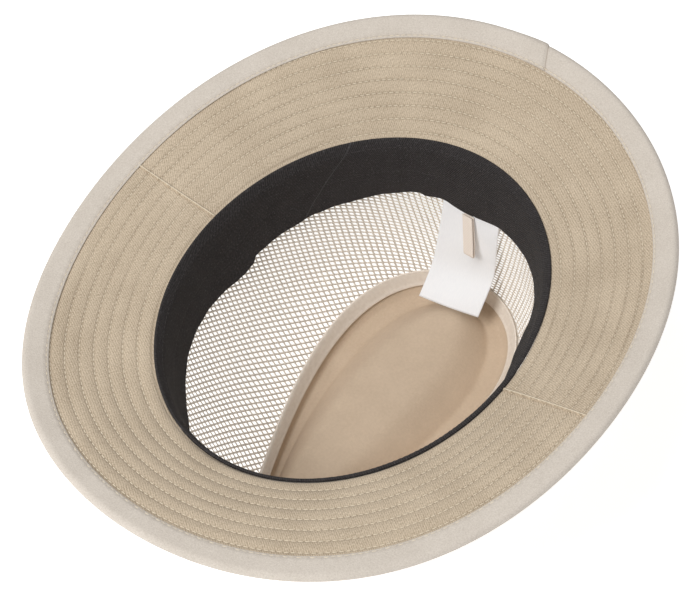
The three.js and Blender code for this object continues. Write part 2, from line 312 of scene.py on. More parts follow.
def tip_face(angle, inward):
    """A point on the inside of the tip."""
    seam, row = wall_row(SEAM_DEPTH / CROWN_HEIGHT), tip_row(inward)
    half_width = seam["width"] * (HEAD_WIDTH / 2 + CLEARANCE)
    half_length = seam["length"] * (HEAD_LENGTH / 2 + CLEARANCE)
    press = pinch(angle, SEAM_DEPTH / CROWN_HEIGHT) * (1 - inward)
    x = row["width"] * half_width * tapered_oval(angle, row["taper"] * seam["taper"]) * (1 - press)
    y = half_length * (row["length"] * math.sin(angle) + seam["shift"] + row["shift"])
    ridge = CROWN_HEIGHT - TIP_THICKNESS
    depth = SEAM_DEPTH + row["sink"] * (ridge - SEAM_DEPTH) - row["rise"] * DENT_DEPTH
    return Vector((x, y, -min(depth, ridge)))


def tip_share(angle, distance):
    """The share of the tip's way inwards that lies at a distance from its seam, along the cloth."""
    step = 0.02
    return distance * step / (tip_face(angle, step) - tip_face(angle, 0)).length


def unit_grid(bm, columns, rows):
    """A flat grid from 0 to 1 each way, whose points are put in place later."""
    bmesh.ops.create_grid(bm, x_segments=columns, y_segments=rows, size=0.5,
                          matrix=Matrix.Translation((0.5, 0.5, 0)))


def crown_tip():
    bm = bmesh.new()
    unit_grid(bm, TIP_COLUMNS, TIP_ROWS)
    for vert in bm.verts:
        angle = math.tau * (vert.co.x % 1)
        inward = tip_share(angle, CLEARANCE) * (1 - vert.co.y) + vert.co.y
        vert.co = opening + tip_face(angle, inward)
    bmesh.ops.remove_doubles(bm, verts=bm.verts, dist=0.01 * MM)
    for _ in range(4):
        bmesh.ops.smooth_vert(bm, verts=bm.verts, factor=0.4,
                              use_axis_x=True, use_axis_y=True, use_axis_z=True)
    bmesh.ops.recalc_face_normals(bm, faces=bm.faces)
    if sum(face.normal.z for face in bm.faces) < 0:
        bmesh.ops.reverse_faces(bm, faces=bm.faces)
    bmesh.ops.solidify(bm, geom=bm.faces, thickness=TIP_THICKNESS)
    for vert in bm.verts:
        vert.co.z = max(vert.co.z, 0)
    return shown(bm, "tip", tip_cotton)


def wave_scale(spacing):
    """The scale of a wave texture whose bands lie this far apart."""
    return math.pi / (10 * spacing)


# Plain-woven tan cotton: matt, with fine yarns both ways and a few thicker ones, a little creased.
YARN = 0.55 * MM  # spacing of the yarns, drawn twice as coarse as they are so that they show
tip_cotton, tree, shader = new_finish("plain_woven_cotton")
spot = add(tree, "TexCoord", "Object")
mottle = add(tree, "TexNoise", "Fac", {"Vector": spot, "Scale": 1 / (14 * MM), "Detail": 4})
yarns = {"Vector": spot, "Scale": wave_scale(YARN), "Distortion": 0.6, "Detail": 1}
weft, warp = (add(tree, "TexWave", "Fac", yarns, bands_direction=way) for way in "XY")
weave = add(tree, "Math", "Value", {0: weft, 1: warp}, operation="ADD")
slub = add(tree, "TexNoise", "Fac", {"Vector": spot, "Scale": 1 / (1.3 * MM), "Detail": 2})
tone = add(tree, "Math", "Value", {0: mottle, 1: slub}, operation="ADD")
tone = add(tree, "Math", "Value", {0: tone, 1: 0.5}, operation="MULTIPLY")
shade = add(tree, "Mix", "Result", {"Factor": tone, "A": srgb("b8a28a"), "B": srgb("d7c2aa")},
            data_type="RGBA")
height = add(tree, "Math", "Value", {0: weave, 1: slub}, operation="ADD")
relief = add(tree, "Bump", "Normal", {"Height": height, "Strength": 0.35, "Distance": 0.12 * MM})
feed(tree, shader, {"Base Color": shade, "Normal": relief, "Roughness": 0.88, "Sheen Weight": 0.1})

tip = crown_tip()
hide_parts("crown_tip")

# Seam tape. A grey-beige twill tape, folded over the seam between net and tip from inside and sewn
# down along both of its edges.
TAPE_WIDTH = 9.5 * MM
TAPE_LAP = 1.2 * MM  # the part of it that lies on the net
TAPE_THICKNESS = 1 * MM
TAPE_LENGTH = 0.5  # round the crown
TAPE_RIB = 0.8 * MM  # spacing of its ribs
TAPE_COLUMNS = 360


def lanes(width, radius, step):
    """Distances across a cloth, close together where its edges are rounded."""
    bend = [radius * (1 - math.cos(math.radians(turn))) for turn in (0, 35, 65)]
    count = max(1, round((width - 2 * radius) / step))
    flat = [radius + (width - 2 * radius) * k / count for k in range(count + 1)]
    return bend + flat + [width - distance for distance in reversed(bend)]


def fullness(distance, width, radius):
    """How thick a cloth is near its rounded edges, as a share of its whole thickness."""
    near = min(distance, width - distance, radius) / radius
    return math.sqrt(max(0, 1 - (1 - near) ** 2))


def cloth(name, material, columns, across, point_at, length=1, closed=True, mark_at=None, uv_at=None):
    """A cloth whose two sides meet at its edges: point_at takes a share of the way along, a distance
    across and the side, 1 or -1. Its UV map is in metres, by its length or as uv_at lays it flat, and
    mark_at may give each point a number."""
    bm = bmesh.new()
    uv = bm.loops.layers.uv.new("cloth")
    mark = bm.verts.layers.float.new("mark")
    rows = 2 * (len(across) - 1)
    unit_grid(bm, columns, rows)

    def lane(vert):
        row = round(vert.co.y * rows)
        side = 1 if row < len(across) else -1
        return across[row if side > 0 else rows - row], side

    for face in bm.faces:
        for loop in face.loops:
            share, distance = loop.vert.co.x, lane(loop.vert)[0]
            loop[uv].uv = uv_at(share, distance) if uv_at else (share * length, distance)
    for vert in bm.verts:
        distance, side = lane(vert)
        if mark_at:
            vert[mark] = mark_at(vert.co.x, distance)
        vert.co = point_at(vert.co.x, distance, side)
    bmesh.ops.remove_doubles(bm, verts=bm.verts, dist=0.002 * MM)
    if not closed:
        bmesh.ops.holes_fill(bm, edges=[edge for edge in bm.edges if edge.is_boundary])
    bmesh.ops.recalc_face_normals(bm, faces=bm.faces)
    return shown(bm, name, material)


def tape_point(share, distance, side):
    """The tape's upper edge lies on the wall, and the rest of it on the tip."""
    angle = math.tau * (share % 1)
    inset = distance - TAPE_LAP
    middle = CLEARANCE + TAPE_THICKNESS / 2
    half = TAPE_THICKNESS / 2 * fullness(distance, TAPE_WIDTH, TAPE_THICKNESS / 2)
    roll = 0.12 * MM * bump((distance - TAPE_WIDTH + 1.3 * MM) / (0.9 * MM))
    off = -middle + side * half - (roll if side < 0 else 0)
    blend = min(max(inset / (1.6 * MM) + 0.5, 0), 1)
    on_wall = off_face(wall_face, angle, SEAM_DEPTH + min(inset, 0), off)
    if blend == 0:
        return on_wall
    on_tip = off_face(tip_face, angle, tip_share(angle, max(inset, 0)), off)
    return on_wall.lerp(on_tip, blend)


# Cotton twill tape: dull, with fine slanting ribs along it.
seam_tape_twill, tree, shader = new_finish("cotton_twill_tape")
spot = add(tree, "TexCoord", "UV")
slant = add(tree, "Mapping", "Vector", {"Vector": spot, "Rotation": (0, 0, math.radians(55))})
rib = add(tree, "TexWave", "Fac", {"Vector": slant, "Scale": wave_scale(TAPE_RIB), "Distortion": 0.5})
mottle = add(tree, "TexNoise", "Fac", {"Vector": spot, "Scale": 1 / (2.5 * MM), "Detail": 4})
tone = add(tree, "Math", "Value", {0: rib, 1: 0.3, 2: mottle}, operation="MULTIPLY_ADD")
shade = add(tree, "Mix", "Result", {"Factor": tone, "A": srgb("d6c8b9"), "B": srgb("f2e8dc")},
            data_type="RGBA")
relief = add(tree, "Bump", "Normal", {"Height": tone, "Strength": 0.5, "Distance": 0.15 * MM})
feed(tree, shader, {"Base Color": shade, "Normal": relief, "Roughness": 0.85})

tape_lanes = lanes(TAPE_WIDTH, TAPE_THICKNESS / 2, 0.45 * MM)
tape = cloth("tape", seam_tape_twill, TAPE_COLUMNS, tape_lanes, tape_point, TAPE_LENGTH)
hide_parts("seam_tape")

# Brim. Two halves of khaki cotton twill, each of two layers, joined at the sides. One long spiral of
# cream thread then stitches the layers together and draws them in at each turn.
BRIM_WIDTH = 61.6 * MM  # from the head opening to the edge, along the cloth
BRIM_THICKNESS = 1.8 * MM
EDGE_INSIDE = BRIM_THICKNESS / 2 + CLEARANCE  # half the thickness of the edge inside its binding
EDGE_OUTSIDE = EDGE_INSIDE + 1 * MM  # and with the binding
TURN_START = 45.7 * MM  # the spiral's distance from the head opening, at the wearer's right
TURN_GAP = 6.6 * MM  # from one turn to the next
TURN_ENDS = (-0.86, 6.4)  # where it starts and ends, in turns from the wearer's right
STITCH = 2.9 * MM  # from one stitch to the next
STITCH_LENGTH = 2.4 * MM
THREAD = 0.46 * MM
THREAD_DEEPEST = math.radians(20)  # where it sinks deepest, and again straight across the hat
QUILT_DEPTH = 0.45 * MM  # how deep the thread draws the cloth in
JOIN_RISE = 0.75 * MM  # how far the back half's rolled edge stands up at a side join
JOIN_SINK = 0.3 * MM  # how far the front half sinks beside it
BACK_LAP = 0.25 * MM  # how far the back half reaches past the side joins
FRONT_GAP = 0.1 * MM  # how far the front half stops short of them
BRIM_STEP = 1.05 * MM
BRIM_COLUMNS = 260
# The brim's slopes in degrees and its width as a share, at eight places round the hat.
BRIM = [
    dict(slope_head=24, slope_edge=20, width=0.98),
    dict(slope_head=16, slope_edge=28, width=1.015),
    dict(slope_head=27, slope_edge=30, width=1.04),
    dict(slope_head=28, slope_edge=19, width=1.015),
    dict(slope_head=5, slope_edge=8, width=0.98),
    dict(slope_head=2, slope_edge=14, width=0.985),
    dict(slope_head=26, slope_edge=15, width=0.997),
    dict(slope_head=25, slope_edge=7, width=0.985),
]


@cache
def read_around(column, angle):
    """A smooth wave through one column of the brim's table, whose rows stand at equal steps round it."""
    count, total = len(BRIM), 0
    for k, row in enumerate(BRIM):
        half = (angle - math.tau * k / count) / 2
        even = abs(math.sin(half)) < 1e-9
        total += row[column] * (1 if even else math.sin(count * half) / (math.tan(half) * count))
    return total


def brim_reach(angle):
    return BRIM_WIDTH * read_around("width", angle)


def brim_face(angle, out):
    """A point on the side of the brim that shows beside the head opening, with an arc for its section."""
    slope_head = math.radians(read_around("slope_head", angle))
    slope_edge = math.radians(read_around("slope_edge", angle))
    bend = (slope_edge - slope_head) * out / BRIM_WIDTH / 2
    chord = out if abs(bend) < 1e-9 else out * math.sin(bend) / bend
    away = Vector((math.cos(angle) * HEAD_LENGTH, math.sin(angle) * HEAD_WIDTH)).normalized()
    run = chord * math.cos(slope_head + bend)
    x = HEAD_WIDTH / 2 * math.cos(angle) + away.x * run
    y = HEAD_LENGTH / 2 * math.sin(angle) + away.y * run
    return Vector((x, y, chord * math.sin(slope_head + bend)))


def brim_spot(start, share, distance):
    """The angle and the distance from the head opening of a point of a half. Points stand closest together
    beside the joins."""
    lap = (BACK_LAP if start == 0 else -FRONT_GAP) / (HEAD_LENGTH * 0.65)
    angle = start - lap + (share - 0.14 * math.sin(math.tau * share)) * (math.pi + 2 * lap)
    reach = brim_reach(angle) - EDGE_OUTSIDE - CLEARANCE
    return angle, CLEARANCE + distance * (reach - CLEARANCE), reach


def turns_at(start, share, distance):
    """A number that is whole on the spiral and changes by one from each turn to the next."""
    angle, out, _ = brim_spot(start, share, distance)
    return (TURN_START - TURN_GAP * angle / math.tau - out) / TURN_GAP


def brim_point(start, share, distance, side):
    """The halves meet at the sides, where the rolled edge of the back one stands up over the other."""
    angle, out, reach = brim_spot(start, share, distance)
    turns = turns_at(start, share, distance)
    quilt = QUILT_DEPTH * bump((turns - round(turns)) * TURN_GAP / (1.5 * MM))
    from_join = (math.pi / 2 - abs(angle - start - math.pi / 2)) * (HEAD_LENGTH / 2 + out)
    ridge = JOIN_RISE * bump((from_join - 0.45 * MM) / (0.55 * MM)) if start == 0 else 0
    sunk = JOIN_SINK * bump(from_join / (0.8 * MM)) if start else 0
    half = BRIM_THICKNESS / 2 * fullness(distance * reach, reach, BRIM_THICKNESS / 2) - quilt
    height = -BRIM_THICKNESS / 2 + side * max(half + (ridge - sunk), 0 if half <= 0 else 0.2 * MM)
    if half + quilt <= 1e-9:
        height = -BRIM_THICKNESS / 2
    return off_face(brim_face, angle, out, height)


def cut_flat(start, share, distance):
    """Where a point of a half lay when it was cut: a flat ring sector, which the slope draws together."""
    angle, out, _ = brim_spot(start, share, distance)
    turn = CUT_ARC * (angle - start)
    radius = (HEAD_LENGTH + HEAD_WIDTH) / 4 + out
    return radius * math.cos(turn), radius * math.sin(turn)


# Khaki cotton twill: matt, with slanting ribs that run straight across each half as it was cut.
RIB = 1.1 * MM  # spacing of the ribs
CUT_ARC = 1.16  # how far a half reached round when it was cut flat, as a share of half a turn
RIB_NORMAL = math.radians(72)  # square to the ribs, from the start of each half
khaki_twill, tree, shader = new_finish("khaki_cotton_twill")
spot = add(tree, "TexCoord", "Object")
flat = add(tree, "TexCoord", "UV")
slant = add(tree, "Mapping", "Vector", {"Vector": flat, "Rotation": (0, 0, -RIB_NORMAL)})
rib = add(tree, "TexWave", "Fac", {
    "Vector": slant, "Scale": wave_scale(RIB), "Distortion": 1.5, "Detail": 2, "Detail Scale": 1.5,
})
streak = add(tree, "Mapping", "Vector", {"Vector": slant, "Scale": (1, 0.6, 1)})
yarns = add(tree, "TexNoise", "Fac", {"Vector": streak, "Scale": 1 / (0.6 * MM), "Detail": 2})
mottle = add(tree, "TexNoise", "Fac", {"Vector": spot, "Scale": 1 / (25 * MM), "Detail": 3})
tone = add(tree, "Math", "Value", {0: rib, 1: 0.2, 2: yarns}, operation="MULTIPLY_ADD")
tone = add(tree, "Math", "Value", {0: mottle, 1: 0.3, 2: tone}, operation="MULTIPLY_ADD")
tone = add(tree, "MapRange", "Result", {"Value": tone, "From Min": 0.35, "From Max": 1.1})
shade = add(tree, "Mix", "Result", {"Factor": tone, "A": srgb("8e7c65"), "B": srgb("ddccb4")},
            data_type="RGBA")
# Along the stitching the cloth is creased and has painted shade; between its turns it puckers a little.
turns = add(tree, "Attribute", "Fac", attribute_name="mark")
miss = add(tree, "Math", "Value", {0: turns, 1: 0.5}, operation="PINGPONG")
crease = add(tree, "MapRange", "Result", {
    "Value": miss, "From Max": 1 * MM / TURN_GAP, "To Min": 1, "To Max": 0,
}, interpolation_type="SMOOTHSTEP")
# Painted shade: the creases are shaded more in some places than in others.
painted_shade_strength = add(tree, "TexNoise", "Fac", {"Vector": spot, "Scale": 1 / (35 * MM), "Detail": 1})
painted_shade_strength = add(tree, "MapRange", "Result", {
    "Value": painted_shade_strength, "From Min": 0.3, "From Max": 0.7, "To Min": 0.12, "To Max": 0.5,
})
shadow = add(tree, "Math", "Value", {0: crease, 1: painted_shade_strength}, operation="MULTIPLY")
shade = add(tree, "Mix", "Result", {"Factor": shadow, "A": shade, "B": srgb("84725c")}, data_type="RGBA")
puckers = add(tree, "TexNoise", "Fac", {"Vector": spot, "Scale": 1 / (5 * MM), "Detail": 1})
soft = add(tree, "Bump", "Normal", {"Height": puckers, "Strength": 0.5, "Distance": 0.7 * MM})
sewn = add(tree, "Bump", "Normal", {
    "Height": crease, "Strength": 0.6, "Distance": -0.3 * MM, "Normal": soft,
})
relief = add(tree, "Bump", "Normal", {
    "Height": tone, "Strength": 0.5, "Distance": 0.25 * MM, "Normal": sewn,
})
feed(tree, shader, {"Base Color": shade, "Normal": relief, "Roughness": 0.9, "Sheen Weight": 0.1})

brim_lanes = [d / BRIM_WIDTH for d in lanes(BRIM_WIDTH, BRIM_THICKNESS / 2, BRIM_STEP)]
for half, start in (("back", 0), ("front", math.pi)):
    point_at = partial(brim_point, start)
    brim = cloth(f"brim_{half}_cloth", khaki_twill, BRIM_COLUMNS, brim_lanes, point_at, closed=False,
                 mark_at=partial(turns_at, start), uv_at=partial(cut_flat, start))
    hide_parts(f"brim_{half}")

# Brim stitching. One lockstitch in cream cotton thread, worked from the edge to the head opening. Each
# stitch is a short plump dash, on the upper and on the lower side of the cloth. A line of the same
# light thread lies along the rolled edge at each side join, as a painted highlight of that edge.
JOIN_PITCH = 3 * MM  # from one dash of the painted highlight along a join to the next
JOIN_DASH = 6 * MM  # length of each, so that they lap and look like one unbroken highlight


def stitched(name, dashes, thickness, material):
    """Joined stitches of a thread. A dash is its two ends and the way that it stands off the cloth."""
    bm = bmesh.new()
    bmesh.ops.create_uvsphere(bm, u_segments=6, v_segments=4, radius=0.5)
    bmesh.ops.rotate(bm, verts=bm.verts, matrix=Matrix.Rotation(math.pi / 2, 3, "Y"))
    one = bpy.data.meshes.new(name)
    bm.to_mesh(one)
    bm.free()
    shape = np.array([vert.co for vert in one.vertices])
    faces = [list(face.vertices) for face in one.polygons]
    bpy.data.meshes.remove(one)
    points, joined = [], []
    for start, end, up in dashes:
        along = end - start
        across = up.cross(along).normalized()
        turned = np.array([along, across * thickness, along.cross(across).normalized() * thickness * 0.8])
        joined += [[corner + len(points) * len(shape) for corner in face] for face in faces]
        points.append(shape @ turned + np.array((start + end) / 2))
    mesh = bpy.data.meshes.new(name)
    mesh.from_pydata(np.concatenate(points), [], joined)
    return shown(mesh, name, material)


def dashes_along(place, up, ends, pitch, length):
    """Dashes of even length along a line that place gives for a number between the two ends."""
    samples = np.linspace(*ends, 4000)
    points = np.array([place(t) for t in samples])
    gone = np.cumsum(np.linalg.norm(np.diff(points, axis=0, prepend=points[:1]), axis=1))
    dashes = []
    for start in np.arange(0, gone[-1] - length, pitch):
        a, b = (float(np.interp(distance, gone, samples)) for distance in (start, start + length))
        dashes.append((place(a), place(b), up((a + b) / 2)))
    return dashes


def spiral_out(turned):
    return TURN_START - TURN_GAP * turned / math.tau


def brim_stitch_place(side, turned):
    """A point of the thread, which sinks deepest into the cloth at the wearer's right and left."""
    sunk = QUILT_DEPTH - 0.15 * MM + 0.25 * MM * math.cos(turned - THREAD_DEEPEST) ** 2
    return off_face(brim_face, turned, spiral_out(turned), -sunk if side > 0 else sunk - BRIM_THICKNESS)


def brim_stitch_up(turned):
    return face_normal(brim_face, turned, spiral_out(turned))


def join_place(side, out):
    """A point on the rolled edge along a side join. side is 1 at the wearer's right and -1 at the left."""
    # The light thread laid along this line is a painted highlight of the rolled edge.
    angle = (math.pi if side < 0 else 0) + side * 0.3 * MM / (HEAD_LENGTH / 2 + out)
    return off_face(brim_face, angle, out, 0.55 * MM)


def thread_finish(name, colour, roughness):
    """Dull sewing thread, with the grain of its plies."""
    material, tree, shader = new_finish(name)
    spot = add(tree, "TexCoord", "Object")
    ply = add(tree, "TexNoise", "Fac", {"Vector": spot, "Scale": 1 / (0.4 * MM)})
    relief = add(tree, "Bump", "Normal", {"Height": ply, "Strength": 0.4, "Distance": 0.1 * MM})
    feed(tree, shader, {"Base Color": srgb(colour), "Normal": relief, "Roughness": roughness})
    return material


# Cotton sewing thread: dull, a shade lighter than the twill.
cream_thread = thread_finish("cream_cotton_thread", "e3d7c0", 0.7)

spiral_ends = [math.tau * turn for turn in TURN_ENDS]
brim_dashes = []
for side in (1, -1):
    place = partial(brim_stitch_place, side)
    brim_dashes += dashes_along(place, brim_stitch_up, spiral_ends, STITCH, STITCH_LENGTH)
# The dashes along each side join are a painted highlight of its rolled edge, in light thread.
for side, join in ((1, 0), (-1, math.pi)):
    place = partial(join_place, side)
    up = partial(face_normal, brim_face, join)
    brim_dashes += dashes_along(place, up, (1 * MM, brim_reach(join) - 11 * MM), JOIN_PITCH, JOIN_DASH)
brim_stitching_and_join_highlight = stitched("brim_stitching_and_join_highlight", brim_dashes, THREAD, cream_thread)

# Edge binding. A bias strip of stone-coloured plain cotton, folded over the edge of the brim and
# stitched through close to its inner folds. At the back one of its ends lies over the other.
BINDING_WIDTH = 12.2 * MM
BINDING_THICKNESS = 1 * MM
BINDING_LENGTH = 0.95  # round the brim
BINDING_COLUMNS = 900
BINDING_STITCH = 1.2 * MM  # from the binding's inner fold to its stitches
BINDING_TUCK = 0.75 * MM  # how far its inner folds draw down to the brim
BINDING_LAP = 0.75 * MM  # how far its upper end stands over the other
# From one of its inner folds round the edge to the other.
BINDING_SECTION = 2 * (BINDING_WIDTH - EDGE_OUTSIDE) + math.pi * (EDGE_INSIDE + EDGE_OUTSIDE) / 2
EDGE_RADIUS = HEAD_LENGTH * 0.8  # of the brim's edge at the back, about


def binding_section(distance):
    """The middle of the binding's thickness at a distance along its section: the distance in from the
    brim's edge, the height over the middle of the brim and how far it has turned round the edge."""
    middle = (EDGE_INSIDE + EDGE_OUTSIDE) / 2
    flat = BINDING_WIDTH - EDGE_OUTSIDE
    turn = min(max((distance - flat) / middle, 0), math.pi)
    flat_left = max(flat - distance, 0) + max(distance - flat - math.pi * middle, 0)
    return flat_left + EDGE_OUTSIDE - middle * math.sin(turn), middle * math.cos(turn), turn


def binding_point(share, distance, side):
    """The strip draws in at its stitches, puckers there a little and steps up to its upper end. The join
    slants, so the columns beside it slant with it."""
    angle = math.tau * (share % 1)
    past_join = (angle - BACK) * EDGE_RADIUS
    inset, height, turn = binding_section(distance)
    angle += math.radians(0.5 - 2 * inset / BINDING_WIDTH) * bump(past_join / (22 * MM))
    from_fold = min(distance, BINDING_SECTION - distance)
    draw = 0.3 * MM * bump((from_fold - BINDING_STITCH) / (0.7 * MM))
    pucker = 0.14 * MM * math.sin(angle * 165) * bump((from_fold - 2 * MM) / (1.6 * MM))
    join = BINDING_LAP * bump(max(past_join - 1 * MM, 0) / (14 * MM)) if past_join > 0.1 * MM else 0
    join -= 0.25 * MM * bump((past_join + 0.3 * MM) / (0.4 * MM))
    height -= math.copysign(BINDING_TUCK, height) * bump(from_fold / (1.3 * MM))
    half = BINDING_THICKNESS / 2 * fullness(distance, BINDING_SECTION, BINDING_THICKNESS / 2)
    grow = side * half + (join + pucker - draw if side > 0 else 0) * min(1, from_fold / (0.5 * MM))
    inset -= grow * math.sin(turn)
    height += grow * math.cos(turn)
    return off_face(brim_face, angle, brim_reach(angle) - inset, height - BRIM_THICKNESS / 2)


# Plain cotton, cut on the bias: fine and even, with a faint weave.
stone_cotton, tree, shader = new_finish("stone_plain_cotton")
spot = add(tree, "TexCoord", "Object")
mottle = add(tree, "TexNoise", "Fac", {"Vector": spot, "Scale": 1 / (18 * MM), "Detail": 3})
grain = add(tree, "TexNoise", "Fac", {"Vector": spot, "Scale": 1 / (0.6 * MM), "Detail": 2})
tone = add(tree, "Math", "Value", {0: mottle, 1: 0.35, 2: grain}, operation="MULTIPLY_ADD")
tone = add(tree, "MapRange", "Result", {"Value": tone, "From Min": 0.35, "From Max": 1})
shade = add(tree, "Mix", "Result", {"Factor": tone, "A": srgb("beb4a8"), "B": srgb("dad1c6")},
            data_type="RGBA")
# Its mark is the distance from the needle's row or from the join, where painted shade darkens it a little.
from_row = add(tree, "Attribute", "Fac", attribute_name="mark")
# Painted shade along the needle's row and along the join.
crease = add(tree, "MapRange", "Result", {
    "Value": from_row, "From Max": 0.5 * MM, "To Min": 0.5, "To Max": 0,
}, interpolation_type="SMOOTHSTEP")
shade = add(tree, "Mix", "Result", {"Factor": crease, "A": shade, "B": srgb("94806e")}, data_type="RGBA")
relief = add(tree, "Bump", "Normal", {"Height": grain, "Strength": 0.5, "Distance": 0.2 * MM})
feed(tree, shader, {"Base Color": shade, "Normal": relief, "Roughness": 0.85, "Sheen Weight": 0.1})


def binding_mark(share, distance):
    from_row = abs(min(distance, BINDING_SECTION - distance) - BINDING_STITCH)
    return min(from_row, abs(math.tau * share - BACK) * EDGE_RADIUS)


binding_lanes = lanes(BINDING_SECTION, BINDING_THICKNESS / 2, 0.9 * MM)
binding = cloth("binding", stone_cotton, BINDING_COLUMNS, binding_lanes, binding_point, BINDING_LENGTH,
                mark_at=binding_mark)
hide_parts("brim_binding")


def binding_stitch_place(distance, angle):
    return binding_point(angle / math.tau, distance, 1)


def binding_stitch_up(angle):
    return face_normal(brim_face, angle, brim_reach(angle) - BINDING_WIDTH)


binding_dashes = []
for distance in (BINDING_STITCH, BINDING_SECTION - BINDING_STITCH):
    place = partial(binding_stitch_place, distance)
    binding_dashes += dashes_along(place, binding_stitch_up, (0, math.tau), STITCH, STITCH_LENGTH)
binding_stitching = stitched("binding_stitching", binding_dashes, THREAD, cream_thread)

# Sweatband. A strip of near-black woven cotton, folded along its top and sewn to the head opening
# there. A second row of stitches runs halfway down. Its lower edge hangs free and wanders.
BAND_DEPTH = 37 * MM
BAND_THICKNESS = 1.5 * MM
BAND_WIDTH = BAND_DEPTH + BAND_RISE
BAND_LENGTH = 0.59  # round the head opening
BAND_COLUMNS = 480
BAND_RIB = 0.9 * MM  # spacing of its ribs
BAND_ROWS = [3.2 * MM, 20 * MM]  # of stitches, below the head opening
BAND_THREAD = 0.4 * MM
BAND_STITCH = 2.6 * MM
BAND_STITCH_LENGTH = 1.7 * MM
BAND_SEAM = math.radians(91.5)  # a groove across it at the back
BAND_JOIN = math.radians(134.7)  # where its ends meet at the fold
BAND_JOIN_SLANT = math.radians(13) / (28 * MM)  # how far round the join goes on its way down
BAND_ROLL = 1.1 * MM  # how far its upper half bulges in from the wall
# Where the free edge stands in from the wall, by a share of BAND_DEPTH.
BAND_LEANS = [
    dict(angle=24, spread=20, lean=0.2),
    dict(angle=174, spread=6, lean=0.03),
    dict(angle=232, spread=8, lean=0.02),
    dict(angle=318, spread=8, lean=0.02),
]
# How the free edge wanders: degrees round the hat, and how far it hangs below BAND_DEPTH in millimetres.
BAND_EDGE = [
    (0, 0), (60, 0), (68, -0.6), (76, -0.2), (80, 0.4), (84, 2), (88, 3.6), (91, 4.5), (95, 4.8),
    (98, 4.2), (100, 3.2), (102, 1.4), (104, 0.4), (110, 1), (112, -1.2), (115, -1), (120, 0.2),
    (126, 1), (132, 1.8), (136, 2.3), (140, 1.8), (146, 2.3), (149, 1.7), (155, 2.4), (162, 2),
    (168, 2), (171, 1.2), (172.5, 1), (174, 3.2), (178, 4.2), (182, 3.4), (186, 1.6), (190, 0),
    (196, -2.2), (204, -3.6), (214, -3.8), (230, -1.5), (245, 0.4), (270, -0.3), (300, 0.5),
    (318, -1.4), (335, 0.3), (360, 0),
]


@cache
def band_lean(angle):
    return BAND_DEPTH * sum(row["lean"] * beside(angle, row) for row in BAND_LEANS)


def ripple(angle):
    """How far the free edge waves in and out, from -1 to 1."""
    waves = math.sin(7 * angle + 0.6) + 0.7 * math.sin(17 * angle + 2.1) + 0.5 * math.sin(41 * angle)
    return waves / 2.2


def band_point(share, distance, side):
    """The strip is rolled at its fold, drawn in at its stitches and free below them."""
    angle = math.tau * (share % 1)
    down = distance / BAND_WIDTH
    edge = MM * float(np.interp(math.degrees(angle), *zip(*BAND_EDGE)))
    depth = -BAND_RISE + down * (BAND_WIDTH + edge) - 0.4 * MM * bump(distance / (1.5 * MM))
    seam = bump((angle - BAND_SEAM) * HEAD_WIDTH / 2 / (0.7 * MM))
    roll = min(distance / (6 * MM), 1)
    row = sum(bump((distance - BAND_RISE - place) / (0.8 * MM)) for place in BAND_ROWS)
    wave = 0.35 * MM * down * (1 + ripple(angle + 1.3))
    half = BAND_THICKNESS / 2 * fullness(distance, BAND_WIDTH, BAND_THICKNESS / 2)
    groove = min(half, 0.25 * MM) * min(1, 0.7 * row + 1.4 * seam)
    off = CLEARANCE + BAND_THICKNESS / 2 + down**2 * band_lean(angle) + wave
    off += BAND_ROLL * roll * roll * (3 - 2 * roll) * (1 - down**2)
    off -= 0.9 * MM * bump(distance / (1.9 * MM))
    return off_face(wall_face, angle, depth, -off + side * (half - (groove if side < 0 else 0)))


# Dark woven cotton: near black, matt, with fine ribs and a little pale lint.
dark_cotton, tree, shader = new_finish("dark_woven_cotton")
spot = add(tree, "TexCoord", "UV")
slant = add(tree, "Mapping", "Vector", {"Vector": spot, "Rotation": (0, 0, math.radians(35))})
rib = add(tree, "TexWave", "Fac", {
    "Vector": slant, "Scale": wave_scale(BAND_RIB), "Distortion": 1, "Detail": 1,
})
lint = add(tree, "TexNoise", "Fac", {"Vector": spot, "Scale": 1 / (0.9 * MM), "Detail": 4})
mottle = add(tree, "TexNoise", "Fac", {"Vector": spot, "Scale": 1 / (9 * MM), "Detail": 3})
tone = add(tree, "Math", "Value", {0: rib, 1: 0.5, 2: lint}, operation="MULTIPLY_ADD")
tone = add(tree, "Math", "Value", {0: mottle, 1: 0.3, 2: tone}, operation="MULTIPLY_ADD")
tone = add(tree, "MapRange", "Result", {"Value": tone, "From Min": 0.45, "From Max": 1.3})
shade = add(tree, "Mix", "Result", {"Factor": tone, "A": srgb("110f0f"), "B": srgb("423e3e")},
            data_type="RGBA")
specks = add(tree, "MapRange", "Result", {"Value": lint, "From Min": 0.6, "From Max": 0.8, "To Max": 0.45})
# Its mark is the distance from the slanting join of its ends, along which runs a fine painted highlight.
from_join = add(tree, "Attribute", "Fac", attribute_name="mark")
from_join = add(tree, "Math", "Value", {0: from_join}, operation="ABSOLUTE")
# Painted highlight: a fine paler line along the join.
line = add(tree, "MapRange", "Result", {
    "Value": from_join, "From Max": 0.45 * MM, "To Min": 0.3, "To Max": 0,
}, interpolation_type="SMOOTHSTEP")
for lint_and_highlight in (specks, line):
    shade = add(tree, "Mix", "Result", {"Factor": lint_and_highlight, "A": shade, "B": srgb("77777a")},
                data_type="RGBA")
relief = add(tree, "Bump", "Normal", {"Height": tone, "Strength": 0.7, "Distance": 0.25 * MM})
feed(tree, shader, {"Base Color": shade, "Normal": relief, "Roughness": 0.86, "Specular IOR Level": 0.3})


def band_mark(share, distance):
    return (math.tau * share - BAND_JOIN - BAND_JOIN_SLANT * distance) * HEAD_LENGTH / 2


band_lanes = lanes(BAND_WIDTH, BAND_THICKNESS / 2, 1.2 * MM)
band = cloth("band", dark_cotton, BAND_COLUMNS, band_lanes, band_point, BAND_LENGTH, mark_at=band_mark)
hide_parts("sweatband")

# Polyester thread of the band: a touch lighter than its cloth.
dark_thread = thread_finish("dark_polyester_thread", "353131", 0.6)


